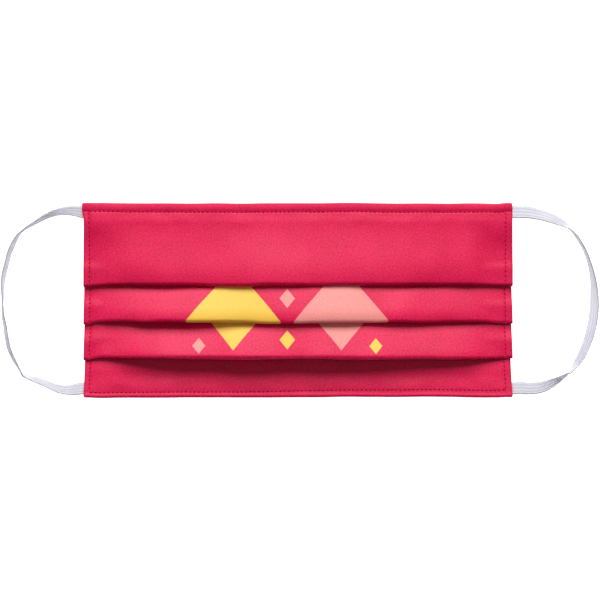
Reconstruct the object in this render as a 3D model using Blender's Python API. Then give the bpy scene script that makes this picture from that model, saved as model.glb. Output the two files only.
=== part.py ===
"""A pleated cloth face mask with two elastic ear loops, lying on its back, printed side up.

Metres. X runs along the width, Y towards the top edge, and the underside rests on Z = 0.
The middle of the whole outline is over the origin.
"""

import math

import bmesh
import bpy
from mathutils import Vector

MM = 0.001

# Cloth panel
PANEL_WIDTH = 200.0 * MM
PANEL_HEIGHT = 90.0 * MM
CLOTH = 1.0 * MM  # both plies together
LAYER_GAP = 0.3 * MM  # air between folded layers, and round the elastic where it is sewn in
TUCK = 6.75 * MM  # how far each pleat runs back under its lip
FOLD_CLEAR = 1.0 * MM  # how far past a fold the cloth above and below it starts to slope
CROWN = 10.5 * MM  # height of the lowest lip at the middle of the mask
LIP_BULGE = 0.5 * MM  # how much rounder a lip is at the middle than where it is sewn down
TOP_SLOPE = 10.0 * MM  # length over which the top panel rises to the first pleat
SIDE_STEP = 1.2 * MM  # largest step of the side edge under a lip
EDGE_ROUND = 0.3 * MM  # rounding of the free edges of the cloth
CORNER_RADIUS = 1.0 * MM  # rounding of the outline's corners
CORNER_FADE = 7.0 * MM  # length over which a thick corner thins out to plain cloth
SIDE_HEM = 4.0 * MM  # width of the strip at each side where the pleats are sewn flat

# Elastic
ELASTIC_WIDTH = 5.2 * MM
ELASTIC_THICK = 0.8 * MM
SEWN_IN = 6.5 * MM  # length of each end inside the cloth
EXIT_DROP = 7.0 * MM  # length over which the elastic comes down from the seam to the table
REACH_LEFT = 38.6 * MM  # from the side of the panel to the far side of the loop
REACH_RIGHT = 40.4 * MM

# One row per pleat, from the top edge down. lip: place of its lower edge, as a share of the
# panel's height from the top. crown: its height at the middle, as a share of CROWN.
PLEATS = (
    {"lip": 0.418, "crown": 0.50},
    {"lip": 0.614, "crown": 0.62},
    {"lip": 0.797, "crown": 1.00},
)

# One row per strip of cloth between lips, from the top down: how far its side edges start
# inwards, as shares of SIDE_STEP. Each strip comes back out towards its own lower edge.
STRIPS = (
    {"left": 0.0, "right": 0.0},
    {"left": 0.4, "right": 1.0},
    {"left": 0.4, "right": 0.6},
    {"left": 0.4, "right": 1.0},
)

# The route of each loop from the top seam round to the bottom seam. out: share of the loop's
# reach. up: share of half the distance between the two seams, up from the middle. tilt: turn
# of the elastic about its own length, in degrees from flat; its outer edge rises where it is
# more than 0, and its other face shows past 90.
LOOP_LEFT = (
    {"out": 0.000, "up": 1.000, "tilt": 0},
    {"out": 0.150, "up": 1.018, "tilt": 2},
    {"out": 0.290, "up": 1.008, "tilt": 16},
    {"out": 0.400, "up": 0.975, "tilt": 40},
    {"out": 0.510, "up": 0.925, "tilt": 58},
    {"out": 0.620, "up": 0.866, "tilt": 70},
    {"out": 0.730, "up": 0.798, "tilt": 80},
    {"out": 0.830, "up": 0.680, "tilt": 86},
    {"out": 0.900, "up": 0.510, "tilt": 88},
    {"out": 0.952, "up": 0.310, "tilt": 89},
    {"out": 0.982, "up": 0.110, "tilt": 90},
    {"out": 0.982, "up": -0.100, "tilt": 90},
    {"out": 0.960, "up": -0.320, "tilt": 92},
    {"out": 0.915, "up": -0.490, "tilt": 97},
    {"out": 0.870, "up": -0.620, "tilt": 102},
    {"out": 0.820, "up": -0.740, "tilt": 102},
    {"out": 0.775, "up": -0.797, "tilt": 90},
    {"out": 0.710, "up": -0.852, "tilt": 56},
    {"out": 0.620, "up": -0.890, "tilt": 36},
    {"out": 0.520, "up": -0.938, "tilt": 18},
    {"out": 0.400, "up": -0.975, "tilt": 8},
    {"out": 0.290, "up": -1.000, "tilt": 2},
    {"out": 0.150, "up": -1.012, "tilt": 0},
    {"out": 0.000, "up": -1.000, "tilt": 0},
)
LOOP_RIGHT = (
    {"out": 0.000, "up": 1.000, "tilt": 0},
    {"out": 0.140, "up": 1.004, "tilt": 0},
    {"out": 0.280, "up": 0.990, "tilt": -3},
    {"out": 0.410, "up": 0.950, "tilt": -8},
    {"out": 0.525, "up": 0.912, "tilt": -18},
    {"out": 0.600, "up": 0.885, "tilt": -48},
    {"out": 0.654, "up": 0.848, "tilt": -74},
    {"out": 0.710, "up": 0.772, "tilt": -95},
    {"out": 0.780, "up": 0.680, "tilt": -100},
    {"out": 0.862, "up": 0.540, "tilt": -105},
    {"out": 0.910, "up": 0.398, "tilt": -109},
    {"out": 0.940, "up": 0.240, "tilt": -113},
    {"out": 0.950, "up": 0.100, "tilt": -118},
    {"out": 0.951, "up": -0.040, "tilt": -124},
    {"out": 0.942, "up": -0.180, "tilt": -125},
    {"out": 0.925, "up": -0.320, "tilt": -127},
    {"out": 0.888, "up": -0.455, "tilt": -128},
    {"out": 0.835, "up": -0.597, "tilt": -128},
    {"out": 0.762, "up": -0.739, "tilt": -115},
    {"out": 0.695, "up": -0.800, "tilt": -93},
    {"out": 0.650, "up": -0.843, "tilt": -74},
    {"out": 0.596, "up": -0.880, "tilt": -54},
    {"out": 0.525, "up": -0.922, "tilt": -26},
    {"out": 0.440, "up": -0.970, "tilt": -7},
    {"out": 0.340, "up": -0.992, "tilt": -2},
    {"out": 0.200, "up": -1.004, "tilt": 0},
    {"out": 0.000, "up": -1.000, "tilt": 0},
)

# How finely the shapes are divided
STRIP_PARTS = 7
LIP_PARTS = 5
MIDDLE_PARTS = 3
INNER_PARTS = 3
LOOP_PARTS = 72
# Sections of the panel between its corners and its middle, as shares of its half width
SECTIONS = (0.24, 0.32, 0.42, 0.54, 0.66, 0.78, 0.89, 1.0)
SHARP_ANGLE = 40

# How high the cloth stands at the middle, as shares of the height of a lip: where it comes out
# from under one lip, and where it passes over the fold behind the next
UNDER_LIP_LIFT = 0.16
OVER_FOLD_RISE = 0.88
# How the pleats open from the side hems to the middle: 1 for an arch, more for a narrow bulge
PUFF_POWER = 1.0

# Colours, linear
RED = (0.80, 0.045, 0.12)
WHITE = (0.78, 0.78, 0.84)

# What follows from the sizes above
LAYER = CLOTH + LAYER_GAP
LOW = CLOTH / 2
STACKED = LOW + 2 * LAYER
SLOT_HEIGHT = ELASTIC_THICK + 2 * LAYER_GAP
SLOT_WIDTH = ELASTIC_WIDTH + 2 * LAYER_GAP
SLOT_DEPTH = SEWN_IN + LAYER_GAP
CORNER_THICK = SLOT_HEIGHT + 2 * CLOTH
THICK_LONG = SLOT_DEPTH + CLOTH
THICK_TALL = SLOT_WIDTH + 2 * CLOTH
SEAM_UP = PANEL_HEIGHT / 2 - CLOTH - SLOT_WIDTH / 2
SEAM_HEIGHT = CORNER_THICK / 2
PANEL_MIDDLE = (REACH_LEFT - REACH_RIGHT) / 2


def ease(share):
    """0 to 1 with level ends, for a share that is held between 0 and 1."""
    share = min(1.0, max(0.0, share))
    return share * share * (3 - 2 * share)


def mix(first, last, share):
    return first + (last - first) * share


def curve(knots, place):
    """The value at a place on a smooth curve through knots (place, value). The curve never
    overshoots its knots.
    """
    steps = [b[0] - a[0] for a, b in zip(knots, knots[1:])]
    rises = [(b[1] - a[1]) / step for a, b, step in zip(knots, knots[1:], steps)]
    slopes = [0.0]
    for before, after in zip(rises, rises[1:]):
        same_way = before * after > 0
        slopes.append(2 * before * after / (before + after) if same_way else 0.0)
    slopes.append(0.0)
    k = 0
    while k < len(steps) - 1 and (place - knots[k + 1][0]) * steps[k] > 0:
        k += 1
    t = (place - knots[k][0]) / steps[k]
    bend = slopes[k] * t * (1 - t) ** 2 - slopes[k + 1] * t * t * (1 - t)
    return mix(knots[k][1], knots[k + 1][1], ease(t)) + steps[k] * bend


def spread(first, last, parts):
    return [mix(first, last, n / parts) for n in range(parts + 1)]


def arc(middle, radius, turn, parts):
    """Points of an arc after its first, which is straight above the middle. The turn is in
    degrees, from +Z towards -Y.
    """
    points = []
    for n in range(1, parts + 1):
        angle = math.radians(turn * n / parts)
        y = middle[0] - radius * math.sin(angle)
        points.append((y, middle[1] + radius * math.cos(angle)))
    return points


def hem_distances():
    """Distances from a free edge at which the cloth's thickness or outline changes."""
    thin_from = THICK_TALL + CORNER_FADE
    return [0.0, EDGE_ROUND, CORNER_RADIUS, THICK_TALL, (THICK_TALL + thin_from) / 2, thin_from]


def section(puff):
    """The middle line of the cloth in Y and Z, from the top edge down. puff is 0 where the
    pleats are sewn flat and 1 at the middle. Each point is y, z, the strip it belongs to and
    how far down that strip it is.
    """
    line = []
    top = PANEL_HEIGHT / 2
    start = top
    for k, pleat in enumerate(PLEATS):
        lip = top - pleat["lip"] * PANEL_HEIGHT
        crest = mix(STACKED, max(STACKED, pleat["crown"] * CROWN - CLOTH / 2), puff)
        round_lip = LAYER / 2 + LIP_BULGE * puff
        lip_middle = (lip + round_lip + CLOTH / 2, crest - round_lip)
        inner_middle = (lip + TUCK - LAYER / 2 - CLOTH / 2, LOW + LAYER / 2)
        flat_from = lip + TUCK + FOLD_CLEAR
        if k == 0:
            level_to = flat_from + TOP_SLOPE
            lift = 0.0
            places = [top - distance for distance in hem_distances()]
            places += spread(level_to, lip_middle[0], STRIP_PARTS)
        else:
            level_to = top - PLEATS[k - 1]["lip"] * PANEL_HEIGHT - FOLD_CLEAR
            lift = UNDER_LIP_LIFT * puff * (crest - LOW)
            places = spread(start, lip_middle[0], STRIP_PARTS)
        knots = (
            (start, LOW),
            (level_to, LOW + lift),
            (flat_from, mix(crest, mix(LOW, crest, OVER_FOLD_RISE), puff)),
            (lip_middle[0], crest),
        )
        for y in places:
            line.append((y, curve(knots, y), k, (start - y) / (start - lip)))
        for y, z in arc(lip_middle, round_lip, 180, LIP_PARTS):
            line.append((y, z, k, 1.0))
        back = ((lip_middle[0], crest - 2 * round_lip), (inner_middle[0], LOW + LAYER))
        for y in spread(lip_middle[0], inner_middle[0], MIDDLE_PARTS)[1:]:
            line.append((y, curve(back, y), k + 1, 0.0))
        for y, z in arc(inner_middle, LAYER / 2, -180, INNER_PARTS):
            line.append((y, z, k + 1, 0.0))
        start = inner_middle[0]
    places = [distance - top for distance in reversed(hem_distances())]
    places = [mix(start, places[0], 0.5)] + places
    for y in places:
        line.append((y, LOW, len(PLEATS), (start - y) / (start + top)))
    return line


def underside(line, n):
    """The point of the cloth's underside below point n of its middle line, in Y and Z."""
    before = line[max(0, n - 1)]
    after = line[min(len(line) - 1, n + 1)]
    along = Vector((after[0] - before[0], after[1] - before[1])).normalized()
    y, z = line[n][:2]
    return y - along.y * CLOTH / 2, z + along.x * CLOTH / 2


def side_inset(strip, down, edge, side):
    """How far the side of the cloth lies inside the panel's width."""
    inset = STRIPS[strip]["left" if side < 0 else "right"] * SIDE_STEP * (1 - down)
    if edge < CORNER_RADIUS:
        inset += CORNER_RADIUS - math.sqrt(CORNER_RADIUS**2 - (CORNER_RADIUS - edge) ** 2)
    return inset


def thickness(strip, inwards, edge):
    """Thickness of the cloth, from its distances to the side and to the top or bottom edge."""
    if strip not in (0, len(PLEATS)):
        return CLOTH
    long_share = 1 - ease((inwards - THICK_LONG) / CORNER_FADE)
    tall_share = 1 - ease((edge - THICK_TALL) / CORNER_FADE)
    return CLOTH + (CORNER_THICK - CLOTH) * long_share * tall_share


def section_distances():
    """Distances of the panel's sections from its side, from the side to the middle."""
    thin_from = THICK_LONG + CORNER_FADE
    near = [0.0, EDGE_ROUND, SIDE_HEM, THICK_LONG, (THICK_LONG + thin_from) / 2, thin_from]
    return near + [share * PANEL_WIDTH / 2 for share in SECTIONS]


def add_panel(material):
    """The cloth: a grid laid along the folds, given its thickness by Solidify."""
    distances = section_distances()
    half = PANEL_WIDTH / 2
    columns = [(-1, d) for d in distances] + [(1, d) for d in reversed(distances[:-1])]
    lines = []
    for side, inwards in columns:
        across = (half - inwards) / (half - SIDE_HEM)
        puff = max(0.0, 1 - across * across) ** PUFF_POWER
        lines.append(section(puff))
    rows = len(lines[0])
    bm = bmesh.new()
    bmesh.ops.create_grid(bm, x_segments=len(columns) - 1, y_segments=rows - 1, size=0.5)
    weights = {}
    for vert in bm.verts:
        column = round((vert.co.x + 0.5) * (len(columns) - 1))
        row = round((0.5 - vert.co.y) * (rows - 1))
        side, inwards = columns[column]
        strip, down = lines[column][row][2:]
        edge = PANEL_HEIGHT / 2 - abs(lines[column][row][0])
        near_side = max(0.0, 1 - inwards / (THICK_LONG + CORNER_FADE))
        inset = side_inset(strip, down, max(0.0, edge), side) * near_side
        y, z = underside(lines[column], row)
        thick = thickness(strip, inwards, edge)
        if inwards < EDGE_ROUND / 2 or row in (0, rows - 1):
            thick -= EDGE_ROUND
        vert.co = (PANEL_MIDDLE + side * (half - inwards - inset), y, z)
        weights[vert.index] = thick / CORNER_THICK
    panel = add_object("mask_panel", bm, material)
    group = panel.vertex_groups.new(name="thickness")
    for index, weight in weights.items():
        group.add([index], weight, "REPLACE")
    thicken = panel.modifiers.new("thickness", "SOLIDIFY")
    thicken.thickness = CORNER_THICK
    thicken.offset = 1.0
    thicken.vertex_group = group.name
    thicken.use_even_offset = True
    for side in (-1, 1):
        for up in (-1, 1):
            cut_slot(panel, side, up)
    return panel


def cut_slot(panel, side, up):
    """The slot in one corner that holds one end of the elastic."""
    outside = SIDE_STEP + CLOTH
    length = SLOT_DEPTH + outside
    bm = bmesh.new()
    bmesh.ops.create_cube(bm, size=1.0)
    bmesh.ops.scale(bm, vec=(length, SLOT_WIDTH, SLOT_HEIGHT), verts=bm.verts)
    name = "slot_" + ("left" if side < 0 else "right") + ("_bottom" if up < 0 else "_top")
    cutter = add_object(name, bm, None)
    middle = PANEL_WIDTH / 2 - SLOT_DEPTH + length / 2
    cutter.location = (PANEL_MIDDLE + side * middle, up * SEAM_UP, SEAM_HEIGHT)
    cutter.hide_render = True
    cutter.display_type = "WIRE"
    cut = panel.modifiers.new(name, "BOOLEAN")
    cut.operation = "DIFFERENCE"
    cut.solver = "EXACT"
    cut.object = cutter


def through(points, share):
    """A point, with its tilt, on a smooth curve through the route's points."""
    spans = len(points) - 1
    k = min(int(share * spans), spans - 1)
    t = share * spans - k
    a, b = points[k], points[k + 1]
    before = points[k - 1] if k else Vector((-b.x, b.y, b.z))
    after = points[k + 2] if k + 2 <= spans else Vector((-a.x, a.y, a.z))
    lean_a = (b - before) / 2
    lean_b = (after - a) / 2
    return (
        a * (2 * t**3 - 3 * t**2 + 1)
        + lean_a * (t**3 - 2 * t**2 + t)
        + b * (3 * t**2 - 2 * t**3)
        + lean_b * (t**3 - t**2)
    )


def loop_stations(route, reach):
    """Places along one loop, as vectors: outwards from the side, up from the middle, tilt."""
    points = []
    for row in route:
        points.append(Vector((row["out"] * reach, row["up"] * SEAM_UP, math.radians(row["tilt"]))))
    visible = [through(points, n / LOOP_PARTS) for n in range(LOOP_PARTS + 1)]
    first = Vector((-SEWN_IN, SEAM_UP, 0.0))
    last = Vector((-SEWN_IN, -SEAM_UP, 0.0))
    return [first] + visible + [last]


def add_loop(name, side, route, reach, material):
    """One ear loop: a flat band along its route, tilted as its stations say."""
    stations = loop_stations(route, reach)
    lengths = [0.0]
    for a, b in zip(stations[1:], stations[2:-1]):
        lengths.append(lengths[-1] + (b.xy - a.xy).length)
    from_seam = [0.0] + [min(run, lengths[-1] - run) for run in lengths] + [0.0]
    wide, thick = ELASTIC_WIDTH / 2, ELASTIC_THICK / 2
    soft = thick / 2
    outline = (
        (wide, -soft),
        (wide, soft),
        (wide - soft, thick),
        (soft - wide, thick),
        (-wide, soft),
        (-wide, -soft),
        (soft - wide, -thick),
        (wide - soft, -thick),
    )
    bm = bmesh.new()
    rings = []
    for n, station in enumerate(stations):
        before = stations[max(0, n - 1)]
        after = stations[min(len(stations) - 1, n + 1)]
        along = (after.xy - before.xy).normalized()
        outwards = Vector((-side * along.y, along.x, 0.0))
        tilt = station.z
        across = outwards * math.cos(tilt) + Vector((0, 0, math.sin(tilt)))
        above = Vector((0, 0, math.cos(tilt))) - outwards * math.sin(tilt)
        resting = wide * abs(math.sin(tilt)) + thick * abs(math.cos(tilt))
        height = mix(SEAM_HEIGHT, resting, ease(from_seam[n] / EXIT_DROP))
        x = PANEL_MIDDLE + side * (PANEL_WIDTH / 2 + station.x)
        middle = Vector((x, station.y, height))
        rings.append([bm.verts.new(middle + across * u + above * v) for u, v in outline])
    for ring, following in zip(rings, rings[1:]):
        for n in range(len(outline)):
            m = (n + 1) % len(outline)
            bm.faces.new((ring[n], ring[m], following[m], following[n]))
    bm.faces.new(rings[0])
    bm.faces.new(rings[-1])
    bmesh.ops.recalc_face_normals(bm, faces=bm.faces)
    return add_object(name, bm, material)


def add_object(name, bm, material):
    mesh = bpy.data.meshes.new(name)
    bm.to_mesh(mesh)
    bm.free()
    mesh.shade_smooth()
    mesh.set_sharp_from_angle(angle=math.radians(SHARP_ANGLE))
    if material:
        mesh.materials.append(material)
    added = bpy.data.objects.new(name, mesh)
    bpy.context.scene.collection.objects.link(added)
    return added


def cloth_material(name, colour, roughness):
    material = bpy.data.materials.new(name)
    material.use_nodes = True
    shader = material.node_tree.nodes["Principled BSDF"]
    shader.inputs["Base Color"].default_value = (*colour, 1.0)
    shader.inputs["Roughness"].default_value = roughness
    shader.inputs["Metallic"].default_value = 0.0
    return material


def main():
    for old in list(bpy.data.objects):
        bpy.data.objects.remove(old, do_unlink=True)
    add_panel(cloth_material("red_cloth", RED, 0.9))
    white = cloth_material("left_elastic", WHITE, 0.8)
    add_loop("ear_loop_left", -1, LOOP_LEFT, REACH_LEFT, white)
    white = cloth_material("right_elastic", WHITE, 0.8)
    add_loop("ear_loop_right", 1, LOOP_RIGHT, REACH_RIGHT, white)


main()
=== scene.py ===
"""A pleated cotton face mask with two elastic ear loops, lying on its back on a pale table."""

import math
import random

import bmesh
import bpy
import numpy as np
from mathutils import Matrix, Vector, noise


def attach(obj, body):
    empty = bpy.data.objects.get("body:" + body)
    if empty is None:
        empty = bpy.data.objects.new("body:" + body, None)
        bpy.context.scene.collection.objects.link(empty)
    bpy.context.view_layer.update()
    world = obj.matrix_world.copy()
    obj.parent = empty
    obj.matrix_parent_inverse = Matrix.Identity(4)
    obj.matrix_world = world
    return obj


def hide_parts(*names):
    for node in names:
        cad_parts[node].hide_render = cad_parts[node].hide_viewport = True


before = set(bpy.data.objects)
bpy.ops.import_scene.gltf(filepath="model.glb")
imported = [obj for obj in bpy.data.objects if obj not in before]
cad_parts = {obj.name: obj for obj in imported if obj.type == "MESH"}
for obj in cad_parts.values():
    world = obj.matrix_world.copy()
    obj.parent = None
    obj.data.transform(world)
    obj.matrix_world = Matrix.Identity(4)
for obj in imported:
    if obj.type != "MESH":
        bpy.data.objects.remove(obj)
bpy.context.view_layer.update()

MM = 0.001

# The panel, with the sizes of its solid
PANEL_WIDTH = 200.0 * MM
PANEL_HEIGHT = 90.0 * MM
CLOTH = 0.7 * MM  # thinner than the solid's wall, with its outer face at the same heights
LAYER_GAP = 0.2 * MM
TUCK = 6.75 * MM
FOLD_CLEAR = 0.3 * MM
LIP_BULGE = 0.4 * MM
SIDE_STEP = 1.2 * MM  # the most that a side steps in under a lip
SIDE_FADE = 15.0 * MM  # width in which that step fades out
CORNER_RADIUS = 1.0 * MM
CORNER_FADE = 15.0 * MM
CORNER_THICK = 2.25 * MM  # a little thinner than the solid, with the elastic pressed inside it
CORNER_LONG = 7.8 * MM
CORNER_TALL = 7.8 * MM
CORNER_OUT = 0.85 * MM  # the top left corner sticks out
CORNER_OUT_FROM = 36.5 * MM
CORNER_OUT_RISE = 5 * MM
CORNER_OUT_FADE = 10 * MM
SIDE_HEM = 4.0 * MM
OVER_TUCK = 8.0 * MM  # length in which the cloth climbs onto the tuck below it
SOFT_MAX = 0.25 * MM  # how softly it parts from that tuck
BELOW_SEAM = 1 * MM  # from the top seam to where the first strip starts to climb
UNDER_LIP = 0.3 * MM  # cloth this close under a lip counts as folded away
REACH_LEFT = 38.6 * MM
REACH_RIGHT = 40.4 * MM
PANEL_MIDDLE = (REACH_LEFT - REACH_RIGHT) / 2
LAYER = CLOTH + LAYER_GAP
LOW = CLOTH / 2  # height of the cloth's middle where it lies on the table
STACKED = LOW + 2 * LAYER  # and where it lies on a tuck

# One row per pleat, of the strip that ends in its lip: the lip's place down the panel, its height
# at the middle and how slowly that fades to the sides, the height of the strip's start at the
# middle, how its climb bends, and how the cloth rolls over to the lip.
PLEATS = (
    {
        "lip": 0.418, "height": 5.9 * MM, "fade": 2.0, "start": 0.0 * MM, "bend": 1.5,
        "roll_from": 15.4 * MM, "roll_power": 3.1, "roll_side": 2.0 * MM, "roll_middle": 1.8 * MM,
    },
    {
        "lip": 0.614, "height": 6.8 * MM, "fade": 1.0, "start": 3.7 * MM, "bend": 0.92,
        "roll_from": 6.6 * MM, "roll_power": 2.4, "roll_side": 0.85 * MM, "roll_middle": 1.15 * MM,
    },
    {
        "lip": 0.797, "height": 9.5 * MM, "fade": 0.8, "start": 4.4 * MM, "bend": 1.0,
        "roll_from": 4.2 * MM, "roll_power": 2.5, "roll_side": 0.5 * MM, "roll_middle": 0.15 * MM,
    },
)
# How much of SIDE_STEP each strip starts in from the panel's edge
STRIPS = (
    {"left": 0.0, "right": 0.0},
    {"left": 0.25, "right": 0.5},
    {"left": 0.4, "right": 0.6},
    {"left": 0.6, "right": 1.0},
)
# Where the edges and lips run out of line, in millimetres: by the place across the panel, the
# shift up the panel of each line, and how much higher each lip stands.
LINES = (
    {"across": -98, "top": 0.42, "lip_1": -1.47, "lip_2": -1.20, "lip_3": -1.43, "bottom": -0.45,
     "high_1": 0.0, "high_2": 0.0, "high_3": 0.0},
    {"across": -95, "top": 0.36, "lip_1": -1.30, "lip_2": -0.47, "lip_3": -0.83, "bottom": -0.64,
     "high_1": 0.0, "high_2": 0.0, "high_3": 0.0},
    {"across": -91, "top": 0.35, "lip_1": -0.95, "lip_2": -0.05, "lip_3": -0.22, "bottom": -0.72,
     "high_1": 0.0, "high_2": 0.4, "high_3": 0.0},
    {"across": -86, "top": 0.26, "lip_1": -0.63, "lip_2": 0.15, "lip_3": -0.48, "bottom": -0.60,
     "high_1": 0.5, "high_2": 0.8, "high_3": -0.5},
    {"across": -80, "top": 0.22, "lip_1": -0.52, "lip_2": 0.21, "lip_3": -0.55, "bottom": -0.55,
     "high_1": 0.5, "high_2": 1.0, "high_3": -0.5},
    {"across": -72, "top": 0.17, "lip_1": -0.57, "lip_2": -0.14, "lip_3": -0.27, "bottom": -0.57,
     "high_1": 0.7, "high_2": 1.9, "high_3": 0.5},
    {"across": -62, "top": 0.20, "lip_1": -0.66, "lip_2": 0.15, "lip_3": -0.33, "bottom": -0.55,
     "high_1": 0.8, "high_2": 2.4, "high_3": 1.4},
    {"across": -50, "top": 0.09, "lip_1": -0.69, "lip_2": -0.23, "lip_3": -0.64, "bottom": -0.44,
     "high_1": 0.2, "high_2": 2.3, "high_3": 1.0},
    {"across": -38, "top": 0.23, "lip_1": -1.20, "lip_2": -0.14, "lip_3": -0.77, "bottom": -0.45,
     "high_1": -0.3, "high_2": 1.9, "high_3": 0.2},
    {"across": -26, "top": 0.08, "lip_1": -1.31, "lip_2": -0.25, "lip_3": -0.96, "bottom": -0.48,
     "high_1": 0.4, "high_2": 1.1, "high_3": 1.2},
    {"across": -14, "top": 0.24, "lip_1": -0.80, "lip_2": -0.87, "lip_3": -0.74, "bottom": -0.48,
     "high_1": 0.8, "high_2": 1.3, "high_3": 0.6},
    {"across": -2, "top": 0.25, "lip_1": -0.98, "lip_2": -0.76, "lip_3": -0.53, "bottom": -0.38,
     "high_1": 0.5, "high_2": 1.7, "high_3": -0.5},
    {"across": 10, "top": 0.23, "lip_1": -1.03, "lip_2": -0.54, "lip_3": -0.44, "bottom": -0.39,
     "high_1": -0.3, "high_2": 1.6, "high_3": 0.7},
    {"across": 22, "top": 0.42, "lip_1": -0.76, "lip_2": -0.36, "lip_3": -0.87, "bottom": -0.12,
     "high_1": -0.3, "high_2": 1.4, "high_3": 0.1},
    {"across": 34, "top": 0.26, "lip_1": -0.71, "lip_2": -0.37, "lip_3": -0.90, "bottom": -0.20,
     "high_1": 0.3, "high_2": 0.4, "high_3": 0.3},
    {"across": 46, "top": 0.09, "lip_1": -0.72, "lip_2": 0.00, "lip_3": -0.80, "bottom": -0.24,
     "high_1": 0.3, "high_2": 1.1, "high_3": -0.3},
    {"across": 58, "top": 0.15, "lip_1": -0.57, "lip_2": -0.42, "lip_3": -0.69, "bottom": -0.10,
     "high_1": 0.0, "high_2": 0.1, "high_3": -0.5},
    {"across": 70, "top": 0.04, "lip_1": -0.51, "lip_2": -0.16, "lip_3": -1.02, "bottom": -0.16,
     "high_1": 0.0, "high_2": -0.3, "high_3": -0.3},
    {"across": 80, "top": 0.19, "lip_1": -0.52, "lip_2": 0.02, "lip_3": -0.85, "bottom": -0.39,
     "high_1": 0.6, "high_2": 0.0, "high_3": -0.2},
    {"across": 88, "top": 0.07, "lip_1": -0.84, "lip_2": -0.27, "lip_3": -0.92, "bottom": -0.48,
     "high_1": -0.3, "high_2": -0.3, "high_3": -0.5},
    {"across": 93, "top": -0.08, "lip_1": -0.98, "lip_2": -0.68, "lip_3": -0.60, "bottom": -0.46,
     "high_1": 0.0, "high_2": 0.0, "high_3": 0.0},
    {"across": 98, "top": 0.36, "lip_1": -0.99, "lip_2": -0.76, "lip_3": -0.48, "bottom": -0.27,
     "high_1": 0.0, "high_2": 0.0, "high_3": 0.0},
)

# Hems: distance of each line of stitches from its edge
STITCH_TOP = 4.0 * MM
STITCH_BOTTOM = 2.8 * MM
STITCH_BOTTOM_RIGHT = 3.7 * MM  # the bottom line slants away from its edge
SLANT_HALF = 50 * MM  # on both sides of the middle
STITCH_LEFT = 2.8 * MM
STITCH_RIGHT = 3.3 * MM
STITCH_PITCH = 2.0 * MM
STITCH_LONG = 1.65 * MM
STITCH_DIVISIONS = 2
STITCH_ASIDE = 0.05  # millimetres that a stitch may sit off its line
THREAD = 0.5 * MM
STRAND_SIDES = 6
STRAND_RINGS = 6
GROOVE_DEEP = 0.18 * MM  # how deep the seams sink into the cloth
GROOVE_WIDE = 0.60 * MM
GROOVE_BOTTOM = 0.04 * MM
HEM_PUFF = 0.16 * MM  # padding between a seam and its edge
TOP_PUFF = 0.26 * MM
BOTTOM_PUFF = 0.36 * MM
BOTTOM_CREST = 1.05 * MM
BOTTOM_CREST_WIDE = 1.0 * MM
TOP_RISE = 0.45 * MM  # how much the cloth rises below the top seam
TOP_RISE_LONG = 5 * MM
BOTTOM_RISE = 1.2 * MM  # and towards the thicker bottom hem
BOTTOM_RISE_FROM = 1 * MM
BOTTOM_RISE_LONG = 10 * MM

# The cloth's edges and its unevenness
EDGE_ROUND = 0.5 * MM
EDGE_LEAST = 0.03  # square of the share of its thickness that the cloth keeps at its very edge
SWELL = 0.55 * MM  # height of the broad swells
SWELL_IN_SIDE = 12 * MM  # they fade in from the sides and the long edges
SWELL_IN_EDGE = 9 * MM
PUCKER = 0.28 * MM  # height of the puckers beside the stitches
PUCKER_FROM = 6 * MM
PUCKER_WIDE = 4 * MM
# Waves: their size across and up the panel in metres, and their place in the noise
BROAD_WAVES = (0.028, 0.021, 0.4)
SMALL_WAVES = (0.011, 0.013, 5.2)
PUCKER_WAVES = (0.0065, 0.0065, 8.8)

# Elastic
ELASTIC_WIDTH = 5.7 * MM
ELASTIC_THICK = 0.8 * MM
SEWN_IN = 6.0 * MM
EXIT_DROP = 7.0 * MM  # length in which the band comes down from its seam to the table
SEAM_UP = 41.1 * MM  # middle of the band at its seams, from the middle of the panel
SEAM_HEIGHT = 1.4 * MM
RIBS = 4
RIB_PARTS = 5
RIB_DEEP = 0.05 * MM
EDGE_SHARE = 0.35  # thickness of the band's edge
PICOT_PITCH = 1.1 * MM  # the edge's small loops of yarn
PICOT_DEEP = 0.09 * MM
ROUTE_PARTS = 800
LOOP_STEP = 0.22 * MM

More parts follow.
